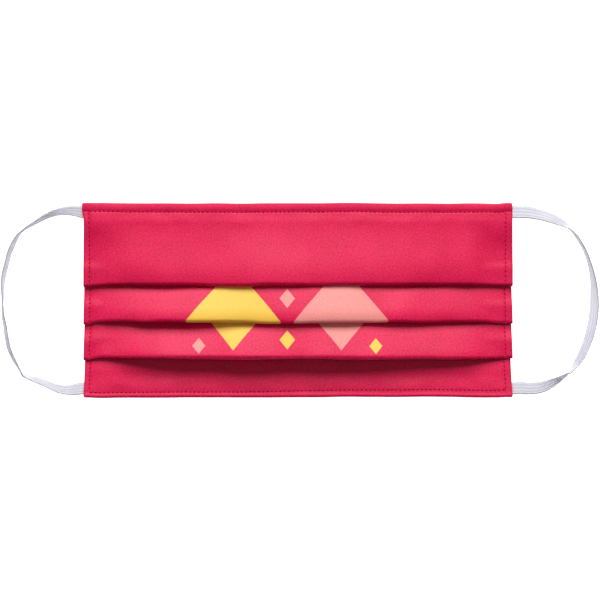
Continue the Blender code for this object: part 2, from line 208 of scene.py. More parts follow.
# The routes of the ear loops, from the top seam to the bottom one: shares of the loop's reach
# and of the seams' height, how far the band leans over in degrees, and its width as a share of
# the flat band's, because it curls lengthwise where it turns over.
LOOP_LEFT = (
    {"out": 0.000, "up": 0.998, "tilt": 8, "wide": 1.00},
    {"out": 0.089, "up": 1.008, "tilt": 13, "wide": 0.88},
    {"out": 0.161, "up": 1.013, "tilt": 15, "wide": 0.79},
    {"out": 0.233, "up": 1.010, "tilt": 18, "wide": 0.70},
    {"out": 0.306, "up": 1.001, "tilt": 24, "wide": 0.62},
    {"out": 0.378, "up": 0.981, "tilt": 34, "wide": 0.60},
    {"out": 0.450, "up": 0.952, "tilt": 50, "wide": 0.60},
    {"out": 0.523, "up": 0.912, "tilt": 64, "wide": 0.60},
    {"out": 0.595, "up": 0.871, "tilt": 72, "wide": 0.60},
    {"out": 0.668, "up": 0.832, "tilt": 81, "wide": 0.62},
    {"out": 0.740, "up": 0.783, "tilt": 88, "wide": 0.65},
    {"out": 0.798, "up": 0.725, "tilt": 79, "wide": 0.70},
    {"out": 0.849, "up": 0.635, "tilt": 70, "wide": 0.72},
    {"out": 0.890, "up": 0.544, "tilt": 69, "wide": 0.72},
    {"out": 0.916, "up": 0.453, "tilt": 70, "wide": 0.72},
    {"out": 0.941, "up": 0.363, "tilt": 71, "wide": 0.72},
    {"out": 0.963, "up": 0.272, "tilt": 73, "wide": 0.72},
    {"out": 0.973, "up": 0.181, "tilt": 79, "wide": 0.72},
    {"out": 0.974, "up": 0.091, "tilt": 85, "wide": 0.72},
    {"out": 0.974, "up": 0.000, "tilt": 95, "wide": 0.72},
    {"out": 0.975, "up": -0.091, "tilt": 103, "wide": 0.72},
    {"out": 0.970, "up": -0.181, "tilt": 110, "wide": 0.72},
    {"out": 0.950, "up": -0.272, "tilt": 113, "wide": 0.72},
    {"out": 0.937, "up": -0.363, "tilt": 116, "wide": 0.72},
    {"out": 0.921, "up": -0.453, "tilt": 118, "wide": 0.72},
    {"out": 0.900, "up": -0.544, "tilt": 118, "wide": 0.72},
    {"out": 0.861, "up": -0.635, "tilt": 116, "wide": 0.70},
    {"out": 0.810, "up": -0.725, "tilt": 110, "wide": 0.68},
    {"out": 0.776, "up": -0.780, "tilt": 100, "wide": 0.64},
    {"out": 0.740, "up": -0.832, "tilt": 82, "wide": 0.62},
    {"out": 0.698, "up": -0.860, "tilt": 34, "wide": 0.42},
    {"out": 0.621, "up": -0.891, "tilt": 13, "wide": 0.48},
    {"out": 0.543, "up": -0.918, "tilt": 8, "wide": 0.54},
    {"out": 0.467, "up": -0.946, "tilt": 9, "wide": 0.56},
    {"out": 0.390, "up": -0.976, "tilt": 6, "wide": 0.61},
    {"out": 0.306, "up": -1.005, "tilt": 4, "wide": 0.71},
    {"out": 0.233, "up": -1.018, "tilt": 3, "wide": 0.77},
    {"out": 0.161, "up": -1.020, "tilt": 2, "wide": 0.83},
    {"out": 0.089, "up": -1.013, "tilt": 2, "wide": 0.93},
    {"out": 0.000, "up": -1.000, "tilt": 0, "wide": 1.00},
)
LOOP_RIGHT = (
    {"out": 0.000, "up": 0.998, "tilt": 0, "wide": 1.00},
    {"out": 0.106, "up": 0.997, "tilt": 0, "wide": 0.99},
    {"out": 0.175, "up": 0.996, "tilt": 0, "wide": 0.98},
    {"out": 0.244, "up": 0.985, "tilt": -1, "wide": 0.95},
    {"out": 0.314, "up": 0.971, "tilt": -2, "wide": 0.90},
    {"out": 0.383, "up": 0.952, "tilt": -4, "wide": 0.85},
    {"out": 0.452, "up": 0.929, "tilt": -6, "wide": 0.80},
    {"out": 0.521, "up": 0.900, "tilt": -2, "wide": 0.69},
    {"out": 0.564, "up": 0.882, "tilt": -4, "wide": 0.62},
    {"out": 0.629, "up": 0.845, "tilt": -12, "wide": 0.44},
    {"out": 0.663, "up": 0.811, "tilt": -76, "wide": 0.46},
    {"out": 0.735, "up": 0.725, "tilt": -99, "wide": 0.66},
    {"out": 0.793, "up": 0.635, "tilt": -98, "wide": 0.70},
    {"out": 0.842, "up": 0.544, "tilt": -100, "wide": 0.72},
    {"out": 0.875, "up": 0.453, "tilt": -102, "wide": 0.74},
    {"out": 0.901, "up": 0.363, "tilt": -107, "wide": 0.76},
    {"out": 0.921, "up": 0.272, "tilt": -113, "wide": 0.78},
    {"out": 0.934, "up": 0.181, "tilt": -122, "wide": 0.80},
    {"out": 0.941, "up": 0.091, "tilt": -133, "wide": 0.80},
    {"out": 0.944, "up": 0.000, "tilt": -141, "wide": 0.80},
    {"out": 0.942, "up": -0.091, "tilt": -148, "wide": 0.80},
    {"out": 0.936, "up": -0.181, "tilt": -155, "wide": 0.78},
    {"out": 0.922, "up": -0.272, "tilt": -163, "wide": 0.76},
    {"out": 0.901, "up": -0.363, "tilt": -170, "wide": 0.75},
    {"out": 0.875, "up": -0.453, "tilt": -178, "wide": 0.73},
    {"out": 0.839, "up": -0.544, "tilt": -183, "wide": 0.70},
    {"out": 0.797, "up": -0.635, "tilt": -182, "wide": 0.66},
    {"out": 0.740, "up": -0.725, "tilt": -176, "wide": 0.52},
    {"out": 0.672, "up": -0.811, "tilt": -140, "wide": 0.30},
    {"out": 0.637, "up": -0.834, "tilt": -79, "wide": 0.60},
    {"out": 0.590, "up": -0.867, "tilt": -62, "wide": 0.61},
    {"out": 0.521, "up": -0.908, "tilt": -34, "wide": 0.66},
    {"out": 0.452, "up": -0.944, "tilt": -17, "wide": 0.75},
    {"out": 0.383, "up": -0.973, "tilt": -8, "wide": 0.87},
    {"out": 0.314, "up": -0.994, "tilt": -4, "wide": 0.93},
    {"out": 0.244, "up": -1.001, "tilt": -2, "wide": 0.97},
    {"out": 0.175, "up": -1.002, "tilt": -1, "wide": 1.00},
    {"out": 0.106, "up": -0.997, "tilt": 0, "wide": 1.00},
    {"out": 0.000, "up": -1.000, "tilt": 0, "wide": 1.00},
)

# Light and camera: power in watts
WIDTH_PER_PIXEL = 0.467 * MM
PIXELS = 600
LIGHTS = (
    {
        "name": "window_light", "place": (0.0, 1.438, 1.083), "size": (1.6, 1.1),
        "power": 46.5, "colour": (1.0, 0.99, 0.98), "gloss": True,
    },
    {
        "name": "ceiling_light", "place": (0.0, 0.0, 0.55), "size": (0.5, 0.5),
        "power": 0.42, "colour": (0.99, 0.99, 1.0), "gloss": False,
    },
)
FILL = 0.06
TABLE_GLOW = 1.2
TABLE_SIZE = 6.0

# The print: plain diamonds in two inks, each with the darker and lighter tone of its mottle
PRINT_SOFT = 0.15 * MM  # softness of their outline
INKS = {
    "yellow": ("#F3BF47", "#FCCF58"),
    "pink": ("#EF8987", "#F89F98"),
}
# Each diamond by its middle on the cloth, laid out flat, and its half sizes
DIAMONDS = (
    {"colour": "yellow", "across": -30.0 * MM, "down": 68.0 * MM, "wide": 22.0 * MM, "tall": 27.0 * MM},
    {"colour": "pink", "across": 20.0 * MM, "down": 68.0 * MM, "wide": 22.0 * MM, "tall": 27.0 * MM},
    {"colour": "pink", "across": -5.0 * MM, "down": 57.0 * MM, "wide": 3.6 * MM, "tall": 4.6 * MM},
    {"colour": "yellow", "across": -5.0 * MM, "down": 90.0 * MM, "wide": 3.6 * MM, "tall": 4.6 * MM},
    {"colour": "pink", "across": -46.0 * MM, "down": 93.0 * MM, "wide": 3.0 * MM, "tall": 3.6 * MM},
    {"colour": "yellow", "across": 36.0 * MM, "down": 93.0 * MM, "wide": 3.0 * MM, "tall": 3.6 * MM},
)


# ---- Small helpers
def ease(share):
    """A share from 0 to 1 that starts and ends slowly."""
    share = min(1.0, max(0.0, share))
    return share * share * (3 - 2 * share)


def mix(first, last, share):
    return first + (last - first) * share


def spread(first, last, step):
    """Evenly spaced values from first to last, both included, about step apart."""
    parts = max(1, round(abs(last - first) / step))
    return [mix(first, last, n / parts) for n in range(parts + 1)]


def curve(knots, place):
    """The value at a place on a smooth curve through knots that doesn't overshoot them."""
    steps = [b[0] - a[0] for a, b in zip(knots, knots[1:])]
    rises = [(b[1] - a[1]) / step for a, b, step in zip(knots, knots[1:], steps)]
    slopes = [0.0]
    for before, after in zip(rises, rises[1:]):
        same_way = before * after > 0
        slopes.append(2 * before * after / (before + after) if same_way else 0.0)
    slopes.append(0.0)
    k = 0
    while k < len(steps) - 1 and (place - knots[k + 1][0]) * steps[k] > 0:
        k += 1
    t = (place - knots[k][0]) / steps[k]
    bend = slopes[k] * t * (1 - t) ** 2 - slopes[k + 1] * t * t * (1 - t)
    return mix(knots[k][1], knots[k + 1][1], ease(t)) + steps[k] * bend


def arc(middle, radius, first, last, parts):
    """Points round part of a circle seen from the side, without its first point."""
    points = []
    for n in range(1, parts + 1):
        angle = math.radians(mix(first, last, n / parts))
        y = middle[0] - radius * math.sin(angle)
        points.append((y, middle[1] + radius * math.cos(angle)))
    return points


def add_mesh(name, verts, faces, materials):
    """A smooth piece with its place in its mesh."""
    mesh = bpy.data.meshes.new(name)
    mesh.from_pydata([tuple(v) for v in verts], [], faces)
    mesh.validate()
    for material in materials:
        mesh.materials.append(material)
    mesh.shade_smooth()
    added = bpy.data.objects.new(name, mesh)
    bpy.context.scene.collection.objects.link(added)
    return added


# ---- Materials
def linear(code):
    """An sRGB hex colour as linear RGBA."""
    parts = [int(code[n:n + 2], 16) / 255 for n in (1, 3, 5)]
    return tuple(c / 12.92 if c <= 0.04045 else ((c + 0.055) / 1.055) ** 2.4 for c in parts) + (1.0,)


def add_node(tree, kind, inputs=None, **settings):
    """Add one node. Its settings are set, and its inputs get a value or a link."""
    node = tree.nodes.new(kind)
    for key, value in settings.items():
        setattr(node, key, value)
    for key, value in (inputs or {}).items():
        if isinstance(value, bpy.types.NodeSocket):
            tree.links.new(value, node.inputs[key])
        else:
            node.inputs[key].default_value = value
    return node


def new_material(name):
    material = bpy.data.materials.new(name)
    material.use_nodes = True
    tree = material.node_tree
    return material, tree, tree.nodes["Principled BSDF"]


def cloth_coordinates(tree):
    """The piece's own UV map, in millimetres along the cloth."""
    uv = add_node(tree, "ShaderNodeUVMap", uv_map="cloth")
    scaled = add_node(
        tree, "ShaderNodeVectorMath", {0: uv.outputs[0], 1: (1000, 1000, 1000)}, operation="MULTIPLY"
    )
    return scaled.outputs[0]


def cotton(name, printed):
    """Plain-woven cotton, reactive dyed: matt, with a fine mottle where threads differ in
    thickness, and faint lines of warp threads. Threads are about 0.3 mm apart, too fine to show,
    so the weave is drawn coarser, at 0.5 mm.
    """
    material, tree, shader = new_material(name)
    place = cloth_coordinates(tree)
    fine = add_node(
        tree, "ShaderNodeTexNoise", {"Vector": place, "Scale": 1.15, "Detail": 2.0, "Roughness": 0.6}
    )
    stretched = add_node(tree, "ShaderNodeMapping", {"Vector": place, "Scale": (1.6, 0.22, 1.0)})
    warp = add_node(
        tree, "ShaderNodeTexNoise", {"Vector": stretched.outputs[0], "Scale": 1.0, "Detail": 2.0}
    )
    broad = add_node(tree, "ShaderNodeTexNoise", {"Vector": place, "Scale": 0.07, "Detail": 3.0})
    grain = add_node(
        tree, "ShaderNodeMix", {"Factor": 0.15, "A": fine.outputs["Fac"], "B": warp.outputs["Fac"]}
    )
    tone = add_node(
        tree, "ShaderNodeMix", {"Factor": 0.2, "A": grain.outputs[0], "B": broad.outputs["Fac"]}
    )
    shade = add_node(
        tree, "ShaderNodeMapRange",
        {"Value": tone.outputs[0], "From Min": 0.32, "From Max": 0.68, "To Min": 0.0, "To Max": 1.0},
    )
    dyed = add_node(
        tree, "ShaderNodeMix",
        {"Factor": shade.outputs[0], "A": linear("#C40638"), "B": linear("#F81C60")}, data_type="RGBA",
    )
    colour = dyed.outputs["Result"]
    if printed:
        colour = diamonds(tree, place, shade.outputs[0], colour)
    tree.links.new(colour, shader.inputs["Base Color"])
    threads = []
    for direction in ("X", "Y"):
        threads.append(
            add_node(
                tree, "ShaderNodeTexWave",
                {"Vector": place, "Scale": 0.62, "Distortion": 1.2, "Detail": 1.0, "Detail Scale": 1.5},
                bands_direction=direction,
            ).outputs["Fac"]
        )
    weave = add_node(tree, "ShaderNodeMath", {0: threads[0], 1: threads[1]}, operation="MULTIPLY")
    height = add_node(
        tree, "ShaderNodeMath", {0: weave.outputs[0], 1: fine.outputs["Fac"]}, operation="ADD"
    )
    bump = add_node(
        tree, "ShaderNodeBump", {"Height": height.outputs[0], "Strength": 0.25, "Distance": 0.00006}
    )
    tree.links.new(bump.outputs[0], shader.inputs["Normal"])
    shader.inputs["Roughness"].default_value = 0.5
    shader.inputs["IOR"].default_value = 1.5
    shader.inputs["Specular IOR Level"].default_value = 0.29
    return material


def diamonds(tree, place, shade, ground):
    """The printed diamonds, mixed over the dyed ground."""
    split = add_node(tree, "ShaderNodeSeparateXYZ", {0: place})
    colour = ground
    for row in DIAMONDS:
        distances = []
        for axis, middle, half in (("X", row["across"], row["wide"]), ("Y", row["down"], row["tall"])):
            moved = add_node(
                tree, "ShaderNodeMath", {0: split.outputs[axis], 1: middle / MM}, operation="SUBTRACT"
            )
            whole = add_node(tree, "ShaderNodeMath", {0: moved.outputs[0]}, operation="ABSOLUTE")
            share = add_node(
                tree, "ShaderNodeMath", {0: whole.outputs[0], 1: half / MM}, operation="DIVIDE"
            )
            distances.append(share.outputs[0])
        total = add_node(tree, "ShaderNodeMath", {0: distances[0], 1: distances[1]}, operation="ADD")
        soft = PRINT_SOFT / row["wide"]
        inside = add_node(
            tree, "ShaderNodeMapRange",
            {"Value": total.outputs[0], "From Min": 1.0 + soft, "From Max": 1.0 - soft},
        )
        dark, light = INKS[row["colour"]]
        ink = add_node(
            tree, "ShaderNodeMix", {"Factor": shade, "A": linear(dark), "B": linear(light)},
            data_type="RGBA",
        )
        colour = add_node(
            tree, "ShaderNodeMix",
            {"Factor": inside.outputs[0], "A": colour, "B": ink.outputs["Result"]}, data_type="RGBA",
        ).outputs["Result"]
    return colour


def polyester_thread():
    """Spun polyester sewing thread, uneven along its twist. Its red is painted darker than the cloth's,
    as painted shade of the stitches sunk into the cloth.
    """
    material, tree, shader = new_material("sewing_thread")
    place = cloth_coordinates(tree)
    twist = add_node(tree, "ShaderNodeTexNoise", {"Vector": place, "Scale": 2.0})
    # Painted shade: the thread's red is drawn darker than the cloth's, for the shade where the stitches
    # sink in.
    colour = add_node(
        tree, "ShaderNodeMix",
        {"Factor": twist.outputs["Fac"], "A": linear("#980228"), "B": linear("#BE0A38")},
        data_type="RGBA",
    )
    tree.links.new(colour.outputs["Result"], shader.inputs["Base Color"])
    shader.inputs["Roughness"].default_value = 0.6
    shader.inputs["Specular IOR Level"].default_value = 0.1
    return material


def braided_elastic():
    """Braided polyester elastic: bluish white yarn, matt, which lets some light through, with
    painted shade in the grooves between its lengthwise ribs and along its edges, and faint
    picks across. The picks are drawn 1.1 mm apart, coarser than they are, so that they show.
    """
    material, tree, shader = new_material("braided_elastic")
    place = cloth_coordinates(tree)
    split = add_node(tree, "ShaderNodeSeparateXYZ", {0: place})
    picks = add_node(
        tree, "ShaderNodeTexWave", {"Vector": place, "Scale": 0.286, "Distortion": 0.4},
        bands_direction="Y",
    )
    across = add_node(
        tree, "ShaderNodeMath", {0: split.outputs["X"], 1: ELASTIC_WIDTH / RIBS / MM / 2},
        operation="PINGPONG",
    )
    groove = add_node(
        tree, "ShaderNodeMapRange",
        {"Value": across.outputs[0], "From Min": 0.0, "From Max": 0.24, "To Min": 0.0, "To Max": 1.0},
    )
    yarn = add_node(tree, "ShaderNodeTexNoise", {"Vector": place, "Scale": 2.2, "Detail": 2.0})
    tone = add_node(
        tree, "ShaderNodeMix", {"Factor": 0.75, "A": picks.outputs["Fac"], "B": yarn.outputs["Fac"]}
    )
    white = add_node(
        tree, "ShaderNodeMix",
        {"Factor": tone.outputs[0], "A": linear("#D8D8E2"), "B": linear("#F0F0F5")}, data_type="RGBA",
    )
    # Painted shade: the grooves between the ribs are drawn greyer.
    ribs_with_painted_shade = add_node(
        tree, "ShaderNodeMix",
        {"Factor": groove.outputs[0], "A": linear("#C2C3CE"), "B": white.outputs["Result"]},
        data_type="RGBA",
    )
    # Painted shade: the band's edges are drawn greyer, for the shade along its thin edges.
    from_edge = add_node(
        tree, "ShaderNodeMath", {0: split.outputs["X"], 1: ELASTIC_WIDTH / MM / 2}, operation="PINGPONG"
    )
    inside = add_node(
        tree, "ShaderNodeMapRange",
        {"Value": from_edge.outputs[0], "From Min": 0.1, "From Max": 0.6, "To Min": 0.0, "To Max": 1.0},
    )
    edges_with_painted_shade = add_node(
        tree, "ShaderNodeMix",
        {"Factor": inside.outputs[0], "A": linear("#AEAFBC"), "B": ribs_with_painted_shade.outputs["Result"]},
        data_type="RGBA",
    )
    tree.links.new(edges_with_painted_shade.outputs["Result"], shader.inputs["Base Color"])
    bump = add_node(
        tree, "ShaderNodeBump", {"Height": tone.outputs[0], "Strength": 0.4, "Distance": 0.0001}
    )
    tree.links.new(bump.outputs[0], shader.inputs["Normal"])
    shader.inputs["Roughness"].default_value = 0.75
    shader.inputs["Subsurface Weight"].default_value = 0.8
    shader.inputs["Subsurface Radius"].default_value = (1.0, 1.0, 1.0)
    shader.inputs["Subsurface Scale"].default_value = 0.001
    return material


# ---- The pleated panel
# How finely each part of a section is divided
TOP_PARTS = 40
STRIP_PARTS = 28
LIP_PARTS = 10
BACK_PARTS = 6
INNER_PARTS = 5
LAST_PARTS = 22
MIDDLE_STEP = 1.4 * MM


def edge_distances():
    """Distances from an edge of the cloth that draw its rounding and its line of stitches."""
    rounding = [0.0, 0.06 * MM, 0.18 * MM, 0.35 * MM, 0.55 * MM]
    return rounding + spread(0.8 * MM, 6.0 * MM, 0.26 * MM)


def section(puff, highs=(0.0, 0.0, 0.0)):
    """Rows of the cloth from the top edge down: y, z, strip, share of the way down that strip,
    and the strip it can be seen on or -1 where it is folded away. Puff is 1 at the middle of the
    panel and 0 at its sides.
    """
    rows = []
    top = PANEL_HEIGHT / 2
    start = top
    near_edge = edge_distances()
    for k, pleat in enumerate(PLEATS):
        lip = top - pleat["lip"] * PANEL_HEIGHT
        height = mix(STACKED, pleat["height"], puff ** pleat["fade"]) + highs[k]
        roll = mix(pleat["roll_side"], pleat["roll_middle"], puff) * min(1.0, 3 * puff)
        low = LOW + pleat["start"] * puff**3
        climb_from = above - FOLD_CLEAR if k else top - STITCH_TOP - BELOW_SEAM
        climb = height + roll - low
        round_lip = LAYER / 2 + LIP_BULGE * puff
        middle_y = lip + round_lip + CLOTH / 2
        steep = pleat["bend"] * climb / (climb_from - middle_y)
        turned = math.atan(pleat["roll_power"] * roll / pleat["roll_from"] - steep)
        lip_middle = (middle_y, height - round_lip * math.cos(turned))
        roll_end = middle_y - round_lip * math.sin(turned)
        inner_middle = (lip + TUCK - LAYER / 2 - CLOTH / 2, LOW + LAYER / 2)
        tuck_end = lip + TUCK + CLOTH
        if k == 0:
            places = [top - d for d in near_edge]
            places += [mix(places[-1], roll_end, n / TOP_PARTS) for n in range(1, TOP_PARTS + 1)]
        else:
            places = [mix(start, roll_end, n / STRIP_PARTS) for n in range(1, STRIP_PARTS + 1)]
        for y in places:
            if y > climb_from:
                z = mix(LOW, low, ease((start - y) / (start - climb_from)))
            else:
                z = low + climb * ((climb_from - y) / (climb_from - roll_end)) ** pleat["bend"]
            z -= roll * max(0.0, 1 - (y - roll_end) / pleat["roll_from"]) ** pleat["roll_power"]
            over = mix(LOW, STACKED, ease((tuck_end + OVER_TUCK - y) / OVER_TUCK))
            z = (z + over + math.hypot(z - over, SOFT_MAX)) / 2
            seen = k if k == 0 or y < above - UNDER_LIP else -1
            rows.append((y, z, k, (start - y) / (start - lip), seen))
        for y, z in arc(lip_middle, round_lip, math.degrees(turned), 180, LIP_PARTS):
            rows.append((y, z, k, 1.0, -1))
        back = ((lip_middle[0], lip_middle[1] - round_lip), (inner_middle[0], LOW + LAYER))
        for n in range(1, BACK_PARTS + 1):
            y = mix(lip_middle[0], inner_middle[0], n / BACK_PARTS)
            rows.append((y, curve(back, y), k + 1, 0.0, -1))
        for y, z in arc(inner_middle, LAYER / 2, 0, -180, INNER_PARTS):
            rows.append((y, z, k + 1, 0.0, -1))
        start = inner_middle[0]
        above = lip
    places = [mix(start, near_edge[-1] - top, n / LAST_PARTS) for n in range(1, LAST_PARTS)]
    places += [d - top for d in reversed(near_edge)]
    for y in places:
        seen = len(PLEATS) if y < above - UNDER_LIP else -1
        rows.append((y, LOW, len(PLEATS), (start - y) / (start + top), seen))
    return rows


def along_lengths(rows):
    """Length along the cloth from its top edge to each row."""
    lengths = [0.0]
    for a, b in zip(rows, rows[1:]):
        lengths.append(lengths[-1] + math.hypot(b[0] - a[0], b[1] - a[1]))
    return lengths


def from_lines(column, x):
    """The value in millimetres of one column of LINES at a place across the panel."""
    knots = [(row["across"] * MM, row[column] * MM) for row in LINES]
    return curve(knots, min(knots[-1][0], max(knots[0][0], x)))


def shift_up(shifts, y):
    """How far a point is shifted up the panel, between the lines above and below it."""
    places = [PANEL_HEIGHT / 2]
    places += [PANEL_HEIGHT / 2 - pleat["lip"] * PANEL_HEIGHT for pleat in PLEATS]
    places.append(-PANEL_HEIGHT / 2)
    return np.interp(-y, [-place for place in places], shifts)


def corner_shift(side, inwards, y):
    """How far the top left corner sticks out."""
    out = ease((y - CORNER_OUT_FROM) / CORNER_OUT_RISE)
    out *= ease((CORNER_OUT_FADE - inwards) / CORNER_OUT_FADE)
    return -CORNER_OUT * out if side < 0 else 0.0


def side_inset(strip, down, side):
    """How far in from the panel's edge a strip's side lies."""
    return STRIPS[strip]["left" if side < 0 else "right"] * SIDE_STEP * (1 - down)


def build_panel():
    """The cloth as a closed sheet: its outer face, its inner face and the rims between them."""
    half = PANEL_WIDTH / 2
    near = edge_distances()
    inside = spread(near[-1] + MIDDLE_STEP, half, MIDDLE_STEP)
    distances = near + inside
    columns = [(-1, d) for d in distances] + [(1, d) for d in reversed(distances[:-1])]
    flat_rows = section(0.0)
    lengths = along_lengths(flat_rows)
    count = len(flat_rows)
    middle = np.zeros((count, len(columns), 3))
    thick = np.zeros((count, len(columns)))
    groove = np.zeros((count, len(columns)))
    for c, (side, inwards) in enumerate(columns):
        across = (half - inwards) / (half - SIDE_HEM)
        puff = max(0.0, 1 - across * across) 
        near_side = max(0.0, 1 - inwards / SIDE_FADE)
        x0 = side * (half - inwards)
        shifts = [from_lines(column, x0) for column in ("top", "lip_1", "lip_2", "lip_3", "bottom")]
        highs = [from_lines(column, x0) for column in ("high_1", "high_2", "high_3")]
        for r, (y, z, strip, down, seen) in enumerate(section(puff, highs)):
            edge = PANEL_HEIGHT / 2 - abs(y)
            inset = side_inset(strip, down, side)
            if edge < CORNER_RADIUS:
                from_middle = CORNER_RADIUS - max(edge, 0)
                inset += CORNER_RADIUS - math.sqrt(CORNER_RADIUS**2 - from_middle**2)
            dx, dy = corner_shift(side, inwards, y), shift_up(shifts, y)
            free = strip in (0, len(PLEATS))
            lift = 0.0
            if seen >= 0:
                lift = cloth_waves(x0, y, inwards, edge if free else half)
                if strip == 0:
                    lift += TOP_RISE * ease((edge - STITCH_TOP) / TOP_RISE_LONG)
            x = PANEL_MIDDLE + side * (half - inwards - inset * near_side)
            middle[r, c] = (x + dx, y + dy, z + lift)
            cloth = CLOTH
            if free:
                long_share = 1 - ease((inwards - CORNER_LONG) / CORNER_FADE)
                tall_share = 1 - ease((edge - CORNER_TALL) / CORNER_FADE)
                cloth += (CORNER_THICK - CLOTH) * long_share * tall_share
            from_rim = min(inwards, edge) if free else inwards
            if from_rim < EDGE_ROUND:
                cloth *= math.sqrt(max(EDGE_LEAST, 1 - (1 - from_rim / EDGE_ROUND) ** 2))
            thick[r, c] = cloth
            groove[r, c] = hem_relief(side, inwards, y, free, seen)
    down_rows = np.gradient(middle, axis=0)
    over_columns = np.gradient(middle, axis=1)
    normals = np.cross(over_columns, -down_rows)
    normals /= np.linalg.norm(normals, axis=2, keepdims=True)
    outer = middle + normals * (thick - CLOTH / 2 + groove)[..., None]
    inner = middle - normals * (CLOTH / 2)
    rounding = np.clip(CLOTH - thick, 0, None)[..., None]
    inner += normals * rounding / 2
    outer += normals * rounding / 2
    inner[..., 2] = np.maximum(inner[..., 2], 0.0)
    return columns, flat_rows, lengths, outer, inner, normals


def wave(x, y, size):
    """Smooth noise with waves of the given size."""
    return noise.noise(Vector((x / size[0], y / size[1], size[2])))


def cloth_waves(x, y, inwards, edge):
    """Gentle unevenness of the cloth: broad swells and puckers beside the stitches."""
    away = ease(inwards / SWELL_IN_SIDE) * ease(edge / SWELL_IN_EDGE)
    broad = wave(x, y, BROAD_WAVES) + 0.5 * wave(x, y, SMALL_WAVES)
    lift = SWELL * (0.55 + 0.5 * broad) * away
    beside = math.exp(-((min(inwards, edge) - PUCKER_FROM) / PUCKER_WIDE) ** 2)
    pucker = wave(x, y, PUCKER_WAVES)
    return max(0.0, lift + PUCKER * (0.5 + 0.7 * pucker) * beside)


def bottom_stitch(x):
    """Distance of the bottom line of stitches from its edge, at a place across the panel."""
    return mix(STITCH_BOTTOM, STITCH_BOTTOM_RIGHT, ease((x + SLANT_HALF) / (2 * SLANT_HALF)))


def hem_relief(side, inwards, y, free, seen):
    """Height of the outer face over the plain cloth at the hems: padded, with a sunk seam."""
    if seen < 0 and not free:
        return 0.0
    stitch = STITCH_LEFT if side < 0 else STITCH_RIGHT
    relief = -GROOVE_DEEP * math.exp(-(((inwards - stitch) / GROOVE_WIDE) ** 2))
    relief += HEM_PUFF * math.exp(-(((inwards - stitch / 2) / (stitch / 2.4)) ** 2))
    if free:
        edge = PANEL_HEIGHT / 2 - abs(y)
        stitch = STITCH_TOP if y > 0 else bottom_stitch(side * (PANEL_WIDTH / 2 - inwards))
        deep = GROOVE_DEEP if y > 0 else GROOVE_BOTTOM
        relief -= deep * math.exp(-(((edge - stitch) / GROOVE_WIDE) ** 2))
        if y > 0:
            relief += TOP_PUFF * math.exp(-(((edge - stitch / 2) / (stitch / 2.4)) ** 2))
        else:
            relief += BOTTOM_PUFF * math.exp(-(((edge - BOTTOM_CREST) / BOTTOM_CREST_WIDE) ** 2))
            relief += BOTTOM_RISE * (1 - ease((edge - BOTTOM_RISE_FROM) / BOTTOM_RISE_LONG))
    return relief


def add_panel():
    """The cloth, with the print on its outer face and its own lengths as its UV map."""
    columns, rows, lengths, outer, inner, normals = build_panel()
    count, across = outer.shape[:2]
    verts = np.concatenate([outer.reshape(-1, 3), inner.reshape(-1, 3)])
    under = count * across
    faces = []
    for r in range(count - 1):
        for c in range(across - 1):
            a = r * across + c
            b = a + across
            faces.append((a, b, b + 1, a + 1))
    outside = len(faces)
    for r in range(count - 1):
        for c in range(across - 1):
            a = under + r * across + c
            b = a + across
            faces.append((a, a + 1, b + 1, b))
    for c in range(across - 1):
        a, b = c, (count - 1) * across + c
        faces.append((a, a + 1, under + a + 1, under + a))
        faces.append((b + 1, b, under + b, under + b + 1))
    for r in range(count - 1):
        a, b = r * across, r * across + across - 1
        faces.append((a + across, a, under + a, under + a + across))
        faces.append((b, b + across, under + b + across, under + b))
    cottons = [cotton("printed_cotton", True), cotton("plain_cotton", False)]
    panel = add_mesh("pleated_cloth", verts, faces, cottons)
    half = PANEL_WIDTH / 2
    places = [side * (half - inwards) for side, inwards in columns]
    uv = panel.data.uv_layers.new(name="cloth")
    for polygon in panel.data.polygons:
        if polygon.index >= outside:
            polygon.material_index = 1
        for loop, vert in zip(polygon.loop_indices, polygon.vertices):
            r, c = divmod(vert % under, across)
            uv.data[loop].uv = (places[c], lengths[r])
    return panel, places, rows, lengths, outer, normals


# ---- Stitches
def stitch_lines(places, rows, lengths, outer, normals):
    """Lines of stitches as lists of points on the cloth with their normals."""
    half = PANEL_WIDTH / 2
    row_numbers = np.arange(len(rows))
    column_numbers = np.arange(len(places))

    def at(x, row):
        c = np.interp(x, places, column_numbers)
        r0, c0 = int(row), int(c)
        r1, c1 = min(r0 + 1, len(rows) - 1), min(c0 + 1, len(places) - 1)
        fr, fc = row - r0, c - c0
        found = []
        for grid in (outer, normals):
            top = grid[r0, c0] * (1 - fc) + grid[r0, c1] * fc
            low = grid[r1, c0] * (1 - fc) + grid[r1, c1] * fc
            found.append(Vector(top * (1 - fr) + low * fr))
        return found

    lines = []
    left, right = -half + STITCH_LEFT, half - STITCH_RIGHT
    steps = spread(left, right, STITCH_PITCH / STITCH_DIVISIONS)
    lines.append([at(x, np.interp(STITCH_TOP, lengths, row_numbers)) for x in steps])
    lines.append(
        [at(x, np.interp(lengths[-1] - bottom_stitch(x), lengths, row_numbers)) for x in steps]
    )
    for x in (left, right):
        for strip in range(len(PLEATS) + 1):
            seen = [r for r, row in enumerate(rows) if row[4] == strip]
            first, last = lengths[seen[0]], lengths[seen[-1]]
            if strip == 0:
                first = STITCH_TOP
            if strip == len(PLEATS):
                last = lengths[-1] - bottom_stitch(x)
            steps = spread(first, last, STITCH_PITCH / STITCH_DIVISIONS)
            lines.append([at(x, np.interp(v, lengths, row_numbers)) for v in steps])
    return lines


